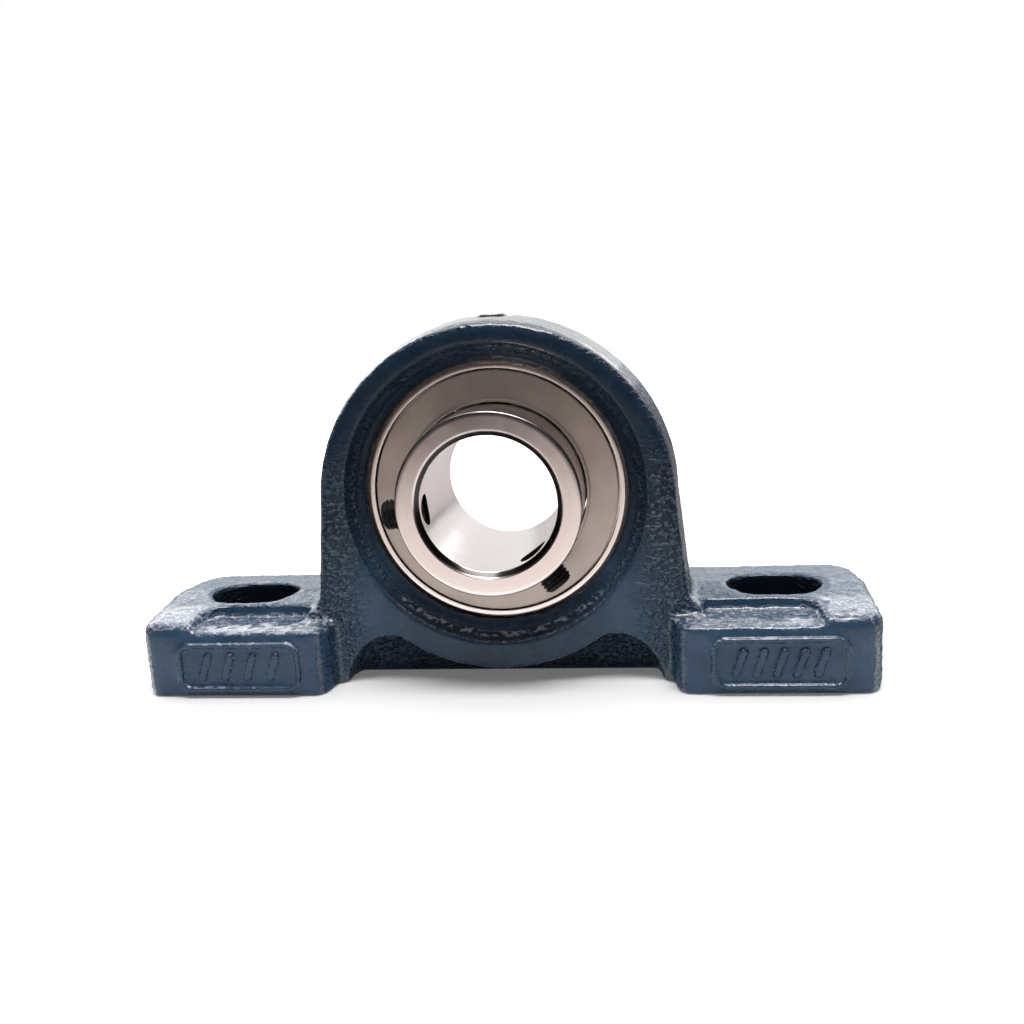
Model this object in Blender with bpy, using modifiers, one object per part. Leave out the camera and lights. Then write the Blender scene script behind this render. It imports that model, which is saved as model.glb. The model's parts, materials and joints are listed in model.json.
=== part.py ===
"""Set-screw ball bearing insert in a cast two-bolt pillow block housing, 25 mm bore.

Metres, +Z up. The origin is in the middle of the base face, the shaft runs along Y, and the
set-screw side of the bearing faces -Y. The pieces of the insert hang on the empty insert_frame,
whose local z runs along the shaft towards the set-screw side and whose local y points up.
"""

import math

import bmesh
import bpy

MM = 0.001

# Driving dimensions of the unit.
SHAFT_HEIGHT = 36.5 * MM
BASE_LENGTH = 140 * MM
BASE_WIDTH = 38 * MM
BOLT_SPACING = 105 * MM
SLOT_WIDTH = 13 * MM
SLOT_LENGTH = 18 * MM
BORE = 25 * MM
OUTER_RING_DIAMETER = 52 * MM
OUTER_RING_WIDTH = 15 * MM
INNER_RING_FRONT = 19.8 * MM
INNER_RING_BACK = 14.3 * MM
INNER_RING_RADIUS = 17 * MM
BALL_DIAMETER = 7.938 * MM
BALL_COUNT = 9
PITCH_RADIUS = 19.25 * MM
GAP = 0.3 * MM
ROUND_STEPS = 48

# Housing. The two mould halves part at y = 0, so every side wall leans in from there by DRAFT.
DRAFT = 0.088
END_DRAFT = 0.02
ARCH_RADIUS = 34.6 * MM
ARCH_HEIGHT = SHAFT_HEIGHT - 1.4 * MM
ARCH_TOP = ARCH_HEIGHT + ARCH_RADIUS
BODY_HALF_DEPTH = 12 * MM
BODY_EDGE_RADIUS = 1.6 * MM
BODY_HALF_WIDTH = 36.4 * MM
BODY_FOOT_FILLET = 1.5 * MM
PAD_HEIGHT = 16 * MM
FOOT_INNER_X = 33 * MM
FOOT_ROOT_RADIUS = 3 * MM
FOOT_FRONT_EDGE_RADIUS = 1.8 * MM
FOOT_BACK_EDGE_RADIUS = 3.5 * MM
FOOT_FRONT_CORNER_RADIUS = 4 * MM
FOOT_BACK_CORNER_RADIUS = 7 * MM
FOOT_EDGE_LEVELS = (3.5 * MM, 1.8 * MM, 0.9 * MM, 0.3 * MM, 0)
FOOT_OVERLAP = 5 * MM
LEDGE_HEIGHT = 12.9 * MM
LEDGE_BACK_Y = -8.8 * MM
LEDGE_END_X = 59.3 * MM
LEDGE_CORNER_RADIUS = 4 * MM
BELLY_RADIUS = 33.8 * MM
BODY_BOTTOM = -4 * MM
FOOT_BOTTOM = -5 * MM
SUNK = 0.2 * MM
SCOOP_TOP = 9.6 * MM
SCOOP_PEAK_X = 21 * MM
SCOOP_WIDENING = ((5.6 * MM, 29.6 * MM), (12 * MM, 30.8 * MM), (15.5 * MM, 32.6 * MM))
PLATE_LENGTH = 24 * MM
PLATE_HEIGHT = 9.4 * MM
PLATE_MIDDLE = (BOLT_SPACING / 2 - 2 * MM, 6.3 * MM)
PLATE_CORNER = 2.5 * MM
PLATE_RIM = 0.8 * MM
PLATE_RISE = 0.45 * MM

# Spherical seat in the housing, as (radius, distance from the middle) on the front half.
SEAT_RADIUS = OUTER_RING_DIAMETER / 2 + 0.5 * GAP + 0.1 * MM
SEAT_HALF_WIDTH = 8.4 * MM
RECESS_FLOOR = (26.4 * MM, 9.0 * MM)
RECESS_STEP = (27.1 * MM, 9.9 * MM)
RECESS_MOUTH = (28.6 * MM, BODY_HALF_DEPTH)
GREASE_GROOVE_DEPTH = 0.7 * MM
GREASE_GROOVE = (-5.8 * MM, 1.8 * MM)
GREASE_CHANNEL_RADIUS = 1.5 * MM
CUT_PAST = 3 * MM
LOADING_NOTCH_HALF = OUTER_RING_WIDTH / 2 + GAP
PIN_RADIUS = 1.4 * MM
PIN_INNER_END = 24.8 * MM
PIN_OUTER_END = 27.9 * MM
PIN_SLOT = (-3.6 * MM, 9 * MM)
PIN_HOLE_LENGTH = 4 * MM

# Closing plug of the grease hole, on top of the arch.
PLUG_RADIUS = 2.9 * MM
PLUG_LENGTH = 5 * MM
PLUG_EDGE = 0.4 * MM
PLUG_SOCKET_DEPTH = 2.5 * MM
SPOT_FACE_RADIUS = 4.2 * MM
SPOT_FACE_DEPTH = 0.5 * MM

# Insert.
RING_SPHERE_RADIUS = OUTER_RING_DIAMETER / 2 - 0.05 * MM
GROOVE_RADIUS = BALL_DIAMETER / 2 + 0.23 * MM
OUTER_LAND_RADIUS = 21.95 * MM
SEAL_SEAT_RADIUS = 23.5 * MM
SEAL_SEAT_EDGE = 5 * MM
LUBE_HOLE_RADIUS = 0.7 * MM
LUBE_HOLE_OFFSET = -4.1 * MM
LUBE_HOLE_LENGTH = 8 * MM
OUTER_RING_CHAMFER = 0.5 * MM
BORE_FRONT_CHAMFER = 1.1 * MM
BORE_BACK_CHAMFER = 1 * MM
INNER_RING_BACK_CHAMFER = 0.5 * MM
INNER_RING_FRONT_EDGE = (0.7 * MM, 0.2 * MM)
SET_SCREW_RADIUS = 2.85 * MM
SET_SCREW_LENGTH = 6 * MM
SET_SCREW_TIP = 14.2 * MM
SET_SCREW_FROM_FACE = 5 * MM
SET_SCREW_ANGLES = (186.6, 306.6)
SET_SCREW_SOCKET = 3 * MM
SET_SCREW_SOCKET_DEPTH = 3 * MM
SET_SCREW_EDGE = 0.45 * MM
SET_SCREW_CUP = 1.6 * MM
SCREW_HOLE_LENGTH = 8 * MM
CAGE_SHEET = 0.8 * MM
CAGE_INNER_RADIUS = 17.65 * MM
CAGE_OUTER_RADIUS = 20.95 * MM
RIVET_RADIUS = 0.45 * MM
RIVET_HEAD_RADIUS = 0.95 * MM
RIVET_HEAD = 0.45 * MM
SEAL_FLOOR = 5.3 * MM
SEAL_TOP = 6.5 * MM
SLINGER_SHEET = 0.6 * MM
SLINGER_COLLAR = 0.4 * MM
SLINGER_GRIP_GAP = 0.25 * MM

COLOURS = {
    "cast_paint": ((0.030, 0.052, 0.090), 0.32, 0.0),
    "bearing_steel": ((0.62, 0.60, 0.58), 0.22, 1.0),
    "ball_steel": ((0.72, 0.72, 0.72), 0.08, 1.0),
    "slinger_steel": ((0.52, 0.48, 0.44), 0.38, 1.0),
    "cage_steel": ((0.56, 0.56, 0.54), 0.40, 1.0),
    "nitrile_rubber": ((0.012, 0.012, 0.012), 0.65, 0.0),
    "black_oxide": ((0.020, 0.020, 0.022), 0.42, 1.0),
    "zinc_plate": ((0.50, 0.51, 0.53), 0.35, 1.0),
}


def clear_scene():
    for obj in list(bpy.data.objects):
        bpy.data.objects.remove(obj, do_unlink=True)


def new_collection(name):
    group = bpy.data.collections.new(name)
    bpy.context.scene.collection.children.link(group)
    return group


def new_material(name):
    colour, roughness, metallic = COLOURS[name]
    made = bpy.data.materials.new(name)
    made.use_nodes = True
    shader = made.node_tree.nodes["Principled BSDF"]
    shader.inputs["Base Color"].default_value = (*colour, 1)
    shader.inputs["Roughness"].default_value = roughness
    shader.inputs["Metallic"].default_value = metallic
    made.diffuse_color = (*colour, 1)
    return made


def new_object(name, mesh, parent=None):
    obj = bpy.data.objects.new(name, mesh)
    obj.parent = parent
    return obj


def as_part(obj, material_name):
    """Puts an object in the part's collection, with a material of its own and smooth round faces."""
    parts.objects.link(obj)
    made = new_material(material_name)
    made.name = f"{obj.name}_{material_name}"
    obj.data.materials.clear()
    obj.data.materials.append(made)
    obj.data.shade_smooth()
    return obj


def as_cutter(obj):
    cutters.objects.link(obj)
    obj.hide_render = True
    obj.display_type = "WIRE"
    return obj


def boolean(target, operation, other, solver="EXACT"):
    modifier = target.modifiers.new(f"{operation.lower()}_{other.name}", "BOOLEAN")
    modifier.operation = operation
    modifier.solver = solver
    modifier.object = other


def arc(centre_x, centre_y, radius, start, end, steps):
    """Points of an arc from start to end degrees, both ends included."""
    points = []
    for step in range(steps + 1):
        angle = math.radians(start + (end - start) * step / steps)
        points.append((centre_x + radius * math.cos(angle), centre_y + radius * math.sin(angle)))
    return points


def mesh_from(build, name):
    """A mesh from a function that fills a bmesh, with its faces turned outwards."""
    shape = bmesh.new()
    build(shape)
    bmesh.ops.recalc_face_normals(shape, faces=shape.faces)
    mesh = bpy.data.meshes.new(name)
    shape.to_mesh(mesh)
    shape.free()
    return mesh


def turned(name, profile, parent=None, closed=True, steps=ROUND_STEPS):
    """A profile of (radius, local z) points, outer side first from top to bottom, turned round z."""
    mesh = bpy.data.meshes.new(name)
    edges = [(i, i + 1) for i in range(len(profile) - 1)]
    if closed:
        edges.append((len(profile) - 1, 0))
    mesh.from_pydata([(radius, 0, height) for radius, height in profile], edges, [])
    obj = new_object(name, mesh, parent)
    screw = obj.modifiers.new("turn", "SCREW")
    screw.axis = "Z"
    screw.steps = steps
    screw.render_steps = steps
    screw.use_merge_vertices = True
    screw.merge_threshold = 0.00001
    screw.use_smooth_shade = True
    return obj


def cylinder(name, radius, length, sides=24, parent=None):
    """A cylinder round local z with its middle at the origin."""

    def build(shape):
        bmesh.ops.create_cone(
            shape, cap_ends=True, segments=sides, radius1=radius, radius2=radius, depth=length
        )

    return new_object(name, mesh_from(build, name), parent)


def box(name, low, high):
    def build(shape):
        bmesh.ops.create_cube(shape, size=1)
        for vertex in shape.verts:
            vertex.co = [low[i] + (high[i] - low[i]) * (vertex.co[i] + 0.5) for i in range(3)]

    return new_object(name, mesh_from(build, name))


def prism(name, outline, low, high, axis):
    """A flat outline swept from low to high along Y or Z."""
    place = {"Y": lambda x, z, t: (x, t, z), "Z": lambda x, y, t: (x, y, t)}[axis]

    def build(shape):
        bottom = [shape.verts.new(place(*point, low)) for point in outline]
        face = shape.faces.new(bottom)
        swept = bmesh.ops.extrude_face_region(shape, geom=[face])["geom"]
        travel = [b - a for a, b in zip(place(0, 0, low), place(0, 0, high))]
        moved = [item for item in swept if isinstance(item, bmesh.types.BMVert)]
        bmesh.ops.translate(shape, verts=moved, vec=travel)

    return new_object(name, mesh_from(build, name))


def mirrored(points):
    """An outline's right half, bottom to top or top to bottom, followed by its mirror image."""
    return points + [(-x, z) for x, z in reversed(points)]


# Housing ---------------------------------------------------------------------------------------

def body_outline(inset):
    """The body seen from the front, drawn in by inset: arch, leaning sides, fillet to the feet."""
    fillet_x = BODY_HALF_WIDTH + BODY_FOOT_FILLET
    fillet_z = PAD_HEIGHT + BODY_FOOT_FILLET - SUNK
    arch = arc(0, ARCH_HEIGHT, ARCH_RADIUS - inset, 90, 0, 12)[1:]
    fillet = arc(fillet_x, fillet_z, BODY_FOOT_FILLET + inset, 180, 270, 4)
    foot = [(fillet_x, BODY_BOTTOM)]
    right = arch + fillet + foot
    return [(0, ARCH_TOP - inset)] + mirrored(right)


def body_sections():
    """(y, inset) from front to back: rounded front edge, the parting plane, rounded back edge."""
    half = []
    steps = 3
    for step in range(steps + 1):
        angle = math.radians(90 * step / steps)
        y = BODY_HALF_DEPTH - BODY_EDGE_RADIUS * (1 - math.cos(angle))
        half.append((y, DRAFT * y + BODY_EDGE_RADIUS * (1 - math.sin(angle))))
    front = [(-y, inset) for y, inset in half]
    return front + [(0, 0)] + half[::-1]


def loft(name, sections):
    """Walls between outlines of equal length, with a cap on the first and the last."""

    def build(shape):
        rings = [[shape.verts.new((x, y, z)) for x, z in outline] for y, outline in sections]
        for front, back in zip(rings, rings[1:]):
            for i in range(len(front)):
                j = (i + 1) % len(front)
                shape.faces.new((front[i], front[j], back[j], back[i]))
        shape.faces.new(rings[0])
        shape.faces.new(rings[-1])

    return new_object(name, mesh_from(build, name))


def rounded_edge(radius, below):
    """How far a rounded top edge has drawn in, at a depth below the top."""
    rise = max(0, radius - below)
    return radius - math.sqrt(radius**2 - rise**2)


def foot_plan(below):
    """The foot from above, at a depth below its top: (x, y) round from the inner front."""
    front_in = rounded_edge(FOOT_FRONT_EDGE_RADIUS, below)
    back_in = rounded_edge(FOOT_BACK_EDGE_RADIUS, below)
    half_width = BASE_WIDTH / 2
    inner_x = FOOT_INNER_X - FOOT_OVERLAP
    front = FOOT_FRONT_CORNER_RADIUS
    back = FOOT_BACK_CORNER_RADIUS
    front_y = front - half_width
    back_y = half_width - back
    front_x = BASE_LENGTH / 2 + END_DRAFT * front_y - front
    back_x = BASE_LENGTH / 2 - END_DRAFT * back_y - back
    plan = [(inner_x, front_in - half_width)]
    plan += arc(front_x, front_y, front - front_in, -90, 0, 4)
    middle = len(plan)
    plan.append((BASE_LENGTH / 2 - front_in, 0))
    steps = 5
    for step in range(steps + 1):
        angle = math.radians(90 * step / steps)
        radius = back - front_in - (back_in - front_in) * step / steps
        plan.append((back_x + radius * math.cos(angle), back_y + radius * math.sin(angle)))
    plan += [(inner_x, half_width - back_in), (inner_x, 0)]
    return plan, middle


def foot_block(name, side):
    """One foot: its top leans down from the parting plane, and its outer edges are round."""

    def build(shape):
        rings = []
        for below in (PAD_HEIGHT - FOOT_BOTTOM, *FOOT_EDGE_LEVELS):
            plan, middle = foot_plan(below)
            ring = []
            for x, y in plan:
                lean = DRAFT * abs(y) if rings else 0
                ring.append(shape.verts.new((side * x, y, PAD_HEIGHT - below - lean)))
            rings.append(ring)
        for lower, upper in zip(rings, rings[1:]):
            for i in range(len(lower)):
                j = (i + 1) % len(lower)
                shape.faces.new((lower[i], lower[j], upper[j], upper[i]))
        shape.faces.new(rings[0])
        top = rings[-1]
        shape.faces.new(top[: middle + 1] + top[-1:])
        shape.faces.new(top[middle:])

    return new_object(name, mesh_from(build, name))


def foot_root_cutter(name, side, half):
    """Leaves the foot's inner end: round at the outer face, then a fillet to the body's face."""
    radius = FOOT_ROOT_RADIUS
    outer_y = BASE_WIDTH / 2
    convex = arc(FOOT_INNER_X + radius, outer_y - radius, radius, 90, 180, 4)
    sunk_y = BODY_HALF_DEPTH - SUNK
    fillet = arc(FOOT_INNER_X - radius, sunk_y + radius, radius, 0, -90, 4)
    inner_x = FOOT_INNER_X - 4 * radius
    outline = [(inner_x, 2 * outer_y), (FOOT_INNER_X + radius, 2 * outer_y)] + convex + fillet
    outline += [(inner_x, sunk_y)]
    outline = [(side * x, half * y) for x, y in outline]
    return prism(name, outline, -PAD_HEIGHT, 2 * PAD_HEIGHT, "Z")


def nameplate_rim(name, side):
    """A raised rounded frame on the foot's front face, with a blank field inside it."""

    def frame(inset):
        corner = PLATE_CORNER - inset
        reach = PLATE_LENGTH / 2 - PLATE_CORNER
        rise = PLATE_HEIGHT / 2 - PLATE_CORNER
        points = []
        for x, z, start in ((reach, rise, 0), (-reach, rise, 90), (-reach, -rise, 180)):
            points += arc(x, z, corner, start, start + 90, 3)
        return points + arc(reach, -rise, corner, 270, 360, 3)

    front, sunk = -BASE_WIDTH / 2 - PLATE_RISE, -BASE_WIDTH / 2 + PLATE_RISE
    middle_x, middle_z = PLATE_MIDDLE

    def build(shape):
        rings = []
        for inset, y in ((0, sunk), (0, front), (PLATE_RIM, front), (PLATE_RIM, sunk)):
            places = [(side * (middle_x + x), y, middle_z + z) for x, z in frame(inset)]
            rings.append([shape.verts.new(place) for place in places])
        for this, following in zip(rings, rings[1:] + rings[:1]):
            for i in range(len(this)):
                j = (i + 1) % len(this)
                shape.faces.new((this[i], this[j], following[j], following[i]))

    return new_object(name, mesh_from(build, name))


def ledge_cutter(name, side):
    corner = arc(
        LEDGE_END_X - LEDGE_CORNER_RADIUS,
        LEDGE_BACK_Y - LEDGE_CORNER_RADIUS,
        LEDGE_CORNER_RADIUS,
        0,
        90,
        4,
    )
    front_y = -BASE_WIDTH
    inner_x = FOOT_INNER_X - FOOT_OVERLAP
    outline = [(inner_x, front_y), (LEDGE_END_X, front_y)] + corner + [(inner_x, LEDGE_BACK_Y)]
    outline = [(side * x, y) for x, y in outline]
    return prism(name, outline, LEDGE_HEIGHT, 2 * PAD_HEIGHT, "Z")


def slot_cutter(name, side):
    """An oblong hole for the bolt, long in X."""
    radius = SLOT_WIDTH / 2
    reach = SLOT_LENGTH / 2 - radius
    middle = side * BOLT_SPACING / 2
    outline = arc(middle + reach, 0, radius, -90, 90, 9) + arc(middle - reach, 0, radius, 90, 270, 9)
    return prism(name, outline, -BASE_WIDTH, BASE_WIDTH, "Z")


def scoop_outline(outer_x):
    """The relief under the body: it follows the seat's round wall, then arches over to each foot."""
    wall_end = math.degrees(math.asin((SHAFT_HEIGHT - SCOOP_TOP) / BELLY_RADIUS))
    wall = arc(0, SHAFT_HEIGHT, BELLY_RADIUS, -90, -wall_end, 6)
    span = outer_x - SCOOP_PEAK_X
    leg = [(SCOOP_PEAK_X + span * x, SCOOP_TOP * z) for x, z in arc(0, 0, 1, 90, 0, 6)]
    right = wall[1:] + leg + [(outer_x, 2 * FOOT_BOTTOM)]
    return [wall[0]] + mirrored(right)


def scoop_cutter(name, half):
    """Runs from the middle web out through the face, and grows wider on the way."""
    sections = [(half * y, scoop_outline(outer_x)) for y, outer_x in SCOOP_WIDENING]
    sections.append((half * BASE_WIDTH, scoop_outline(FOOT_INNER_X + 0.5 * MM)))
    return loft(name, sections)


def seat_profile():
    """Front recess, spherical seat with a grease groove, back recess, as (radius, local z)."""

    def on_sphere(height, radius=SEAT_RADIUS):
        return (math.sqrt(radius**2 - height**2), height)

    groove_low, groove_high = GREASE_GROOVE
    groove_radius = SEAT_RADIUS + GREASE_GROOVE_DEPTH
    recess = [RECESS_FLOOR, RECESS_STEP, RECESS_MOUTH]
    mouth = (RECESS_MOUTH[0], 2 * BODY_HALF_DEPTH)
    top = [(0, mouth[1]), mouth] + recess[::-1] + [on_sphere(SEAT_HALF_WIDTH)]
    upper_seat = [on_sphere(height * MM) for height in (6.4, 4.2)]
    groove = [
        on_sphere(groove_high),
        on_sphere(groove_high, groove_radius),
        on_sphere((groove_low + groove_high) / 2, groove_radius),
        on_sphere(groove_low, groove_radius),
        on_sphere(groove_low),
    ]
    bottom = [(radius, -height) for radius, height in reversed(top)]
    return top + upper_seat + groove + bottom


def shape_casting(target, operation, other):
    """The casting's long chain of cuts stays closed with the manifold solver."""
    boolean(target, operation, as_cutter(other), "MANIFOLD")


def foot(side, label):
    block = foot_block(f"foot_{label}", side)
    for half, face in ((-1, "front"), (1, "back")):
        root = foot_root_cutter(f"foot_root_{label}_{face}", side, half)
        shape_casting(block, "DIFFERENCE", root)
    shape_casting(block, "DIFFERENCE", ledge_cutter(f"ledge_{label}", side))
    return block


def housing():
    body = loft("housing", [(y, body_outline(inset)) for y, inset in body_sections()])
    for side, label in ((-1, "left"), (1, "right")):
        shape_casting(body, "UNION", foot(side, label))
        shape_casting(body, "UNION", nameplate_rim(f"nameplate_{label}", side))
        shape_casting(body, "DIFFERENCE", slot_cutter(f"slot_{label}", side))
    for half, face in ((-1, "front"), (1, "back")):
        shape_casting(body, "DIFFERENCE", scoop_cutter(f"scoop_{face}", half))
    below = BASE_LENGTH
    shape_casting(body, "DIFFERENCE", box("base_cut", (-below, -below, -below), (below, below, 0)))
    seat = turned("seat_bore", seat_profile(), insert_frame, closed=False)
    shape_casting(body, "DIFFERENCE", seat)
    shape_casting(body, "DIFFERENCE", loading_notches())
    slot_half = PIN_RADIUS + GAP
    slot_floor = SHAFT_HEIGHT - PIN_OUTER_END - GAP
    slot_top = SHAFT_HEIGHT - SEAT_RADIUS + CUT_PAST
    pin_slot = box("pin_slot", (-slot_half, PIN_SLOT[0], slot_floor), (slot_half, PIN_SLOT[1], slot_top))
    shape_casting(body, "DIFFERENCE", pin_slot)
    shape_casting(body, "DIFFERENCE", grease_hole())
    return as_part(body, "cast_paint")


def loading_notches():
    """The two notches at the back through which the insert is put in on edge and then turned."""
    end = math.degrees(math.asin(LOADING_NOTCH_HALF / SEAT_RADIUS))
    right = arc(0, 0, SEAT_RADIUS, -end, end, 6)
    left = [(-x, -z) for x, z in right]
    outline = [(x, z + SHAFT_HEIGHT) for x, z in right + left]
    return prism("loading_notches", outline, 0, BASE_WIDTH, "Y")


def grease_hole():
    """Spot face, thread for the plug and narrow channel down to the seat's groove."""
    top = ARCH_TOP
    hole = PLUG_RADIUS + GAP
    shoulder = top - PLUG_LENGTH - GAP
    channel_end = SHAFT_HEIGHT + SEAT_RADIUS - CUT_PAST
    profile = [
        (0, top + CUT_PAST),
        (SPOT_FACE_RADIUS, top + CUT_PAST),
        (SPOT_FACE_RADIUS, top - SPOT_FACE_DEPTH),
        (hole, top - SPOT_FACE_DEPTH),
        (hole, shoulder),
        (GREASE_CHANNEL_RADIUS, shoulder),
        (GREASE_CHANNEL_RADIUS, channel_end),
        (0, channel_end),
    ]
    return turned("grease_hole", profile, closed=False, steps=16)


# Insert ----------------------------------------------------------------------------------------


def outer_ring():
    half = OUTER_RING_WIDTH / 2
    chamfer = OUTER_RING_CHAMFER
    edge = math.degrees(math.asin((half - chamfer) / RING_SPHERE_RADIUS))
    groove = math.degrees(math.acos((OUTER_LAND_RADIUS - PITCH_RADIUS) / GROOVE_RADIUS))
    rim = math.sqrt(RING_SPHERE_RADIUS**2 - half**2) - chamfer
    outside = [(rim, half)] + arc(0, 0, RING_SPHERE_RADIUS, edge, -edge, 8) + [(rim, -half)]
    lower = [(SEAL_SEAT_RADIUS, -half), (SEAL_SEAT_RADIUS, -SEAL_SEAT_EDGE)]
    lower += [(OUTER_LAND_RADIUS, -SEAL_SEAT_EDGE)]
    raceway = arc(PITCH_RADIUS, 0, GROOVE_RADIUS, -groove, groove, 6)
    upper = [(radius, -height) for radius, height in reversed(lower)]
    ring = turned("outer_ring", outside + lower + raceway + upper, insert_frame)
    pin_hole = cylinder("pin_hole", PIN_RADIUS + GAP, PIN_HOLE_LENGTH, 12, insert_frame)
    pin_hole.location = (0, GAP - PIN_INNER_END - PIN_HOLE_LENGTH / 2, 0)
    pin_hole.rotation_euler = (math.pi / 2, 0, 0)
    boolean(ring, "DIFFERENCE", as_cutter(pin_hole))
    lube_hole = cylinder("lube_hole", LUBE_HOLE_RADIUS, LUBE_HOLE_LENGTH, 8, insert_frame)
    lube_hole.location = (0, RING_SPHERE_RADIUS - 2 * MM, LUBE_HOLE_OFFSET)
    lube_hole.rotation_euler = (math.pi / 2, 0, 0)
    boolean(ring, "DIFFERENCE", as_cutter(lube_hole))
    return as_part(ring, "bearing_steel")


def anti_rotation_pin():
    pin = cylinder("anti_rotation_pin", PIN_RADIUS, PIN_OUTER_END - PIN_INNER_END, 12, insert_frame)
    pin.location = (0, -(PIN_OUTER_END + PIN_INNER_END) / 2, 0)
    pin.rotation_euler = (math.pi / 2, 0, 0)
    return as_part(pin, "bearing_steel")


def inner_ring():
    radius = INNER_RING_RADIUS
    bore = BORE / 2
    front, back = INNER_RING_FRONT, -INNER_RING_BACK
    groove = math.degrees(math.acos((PITCH_RADIUS - radius) / GROOVE_RADIUS))
    wide, narrow = INNER_RING_FRONT_EDGE
    outside = [(radius - wide, front), (radius - narrow, front - narrow), (radius, front - wide)]
    outside += arc(PITCH_RADIUS, 0, GROOVE_RADIUS, 180 - groove, 180 + groove, 6)
    outside += [(radius, back + INNER_RING_BACK_CHAMFER), (radius - INNER_RING_BACK_CHAMFER, back)]
    inside = [(bore + BORE_BACK_CHAMFER, back), (bore, back + BORE_BACK_CHAMFER)]
    inside += [(bore, front - BORE_FRONT_CHAMFER), (bore + BORE_FRONT_CHAMFER, front)]
    ring = turned("inner_ring", outside + inside, insert_frame)
    for number, angle in enumerate(SET_SCREW_ANGLES, 1):
        name = f"screw_hole_{number}"
        hole = cylinder(name, SET_SCREW_RADIUS + GAP, SCREW_HOLE_LENGTH, 16, insert_frame)
        place_radially(hole, angle, (bore + radius) / 2)
        boolean(ring, "DIFFERENCE", as_cutter(hole))
    return as_part(ring, "bearing_steel")


def place_radially(obj, angle, radius):
    """Points local z outwards from the shaft's axis, in the plane of the set screws."""
    turn = math.radians(angle)
    height = INNER_RING_FRONT - SET_SCREW_FROM_FACE
    obj.location = (radius * math.cos(turn), radius * math.sin(turn), height)
    obj.rotation_euler = (0, math.pi / 2, turn)


def set_screw(number, angle):
    """A socket set screw backed out clear of the shaft: cup point inside, hexagon socket outside."""
    half = SET_SCREW_LENGTH / 2
    edge = SET_SCREW_EDGE
    cup = SET_SCREW_CUP
    radius = SET_SCREW_RADIUS
    profile = [(0, half), (radius - edge, half), (radius, half - edge), (radius, edge - half)]
    profile += [(cup, -half), (0, cup / 2 - half)]
    name = f"set_screw_{number}"
    screw = turned(name, profile, insert_frame, closed=False, steps=16)
    place_radially(screw, angle, SET_SCREW_TIP + half)
    corner = SET_SCREW_SOCKET / math.sqrt(3)
    length = 2 * SET_SCREW_SOCKET_DEPTH
    socket = cylinder(f"socket_{number}", corner, length, 6, insert_frame)
    place_radially(socket, angle, SET_SCREW_TIP + SET_SCREW_LENGTH)
    boolean(screw, "DIFFERENCE", as_cutter(socket))
    return as_part(screw, "black_oxide")


def ball_angle(number):
    return 90 + number * 360 / BALL_COUNT


def balls():
    def build(shape):
        bmesh.ops.create_uvsphere(shape, u_segments=12, v_segments=8, radius=BALL_DIAMETER / 2)

    mesh = mesh_from(build, "ball")
    for number in range(BALL_COUNT):
        turn = math.radians(ball_angle(number))
        ball = new_object(f"ball_{number + 1}", mesh.copy(), insert_frame)
        ball.location = (PITCH_RADIUS * math.cos(turn), PITCH_RADIUS * math.sin(turn), 0)
        as_part(ball, "ball_steel")


def cage_height(offset):
    """Height of the sheet's middle at an arc length from the nearest ball's centre."""
    pocket = BALL_DIAMETER / 2 + GAP + CAGE_SHEET / 2
    flat = (GAP + CAGE_SHEET) / 2
    if offset >= pocket:
        return flat
    return max(flat, math.sqrt(pocket**2 - offset**2))


def cage_offsets():
    """Arc lengths from one ball's centre half way to the next: over the ball, then the flat."""
    pocket = BALL_DIAMETER / 2 + GAP + CAGE_SHEET / 2
    over_ball = [pocket * math.sin(math.radians(angle)) for angle in (0, 28, 52, 72)]
    half_pitch = math.pi * PITCH_RADIUS / BALL_COUNT
    return over_ball + [pocket + 0.15 * MM, half_pitch]


def cage_half(name):
    """A ribbon of sheet that runs over each ball and lies flat between them."""
    offsets = cage_offsets()
    half_pitch = offsets[-1]

    def build(shape):
        rings = []
        for number in range(BALL_COUNT):
            middle = math.radians(ball_angle(number))
            signed = [-offset for offset in reversed(offsets[1:-1])] + offsets
            for offset in signed:
                turn = middle + offset / half_pitch * math.pi / BALL_COUNT
                height = cage_height(abs(offset))
                rings.append(
                    [
                        shape.verts.new((radius * math.cos(turn), radius * math.sin(turn), height))
                        for radius in (CAGE_INNER_RADIUS, CAGE_OUTER_RADIUS)
                    ]
                )
        for this, following in zip(rings, rings[1:] + rings[:1]):
            shape.faces.new((this[0], this[1], following[1], following[0]))

    half = new_object(name, mesh_from(build, name), insert_frame)
    sheet = half.modifiers.new("sheet", "SOLIDIFY")
    sheet.thickness = CAGE_SHEET
    sheet.offset = 0
    boolean(half, "DIFFERENCE", bpy.data.objects["rivet_holes"])
    return as_part(half, "cage_steel")


def rivet_holes():
    def build(shape):
        for number in range(BALL_COUNT):
            turn = math.radians(ball_angle(number + 0.5))
            made = bmesh.ops.create_cone(
                shape,
                cap_ends=True,
                segments=8,
                radius1=RIVET_RADIUS + GAP,
                radius2=RIVET_RADIUS + GAP,
                depth=5 * MM,
            )["verts"]
            place = (PITCH_RADIUS * math.cos(turn), PITCH_RADIUS * math.sin(turn), 0)
            bmesh.ops.translate(shape, verts=made, vec=place)

    return as_cutter(new_object("rivet_holes", mesh_from(build, "rivet_holes"), insert_frame))


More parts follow.
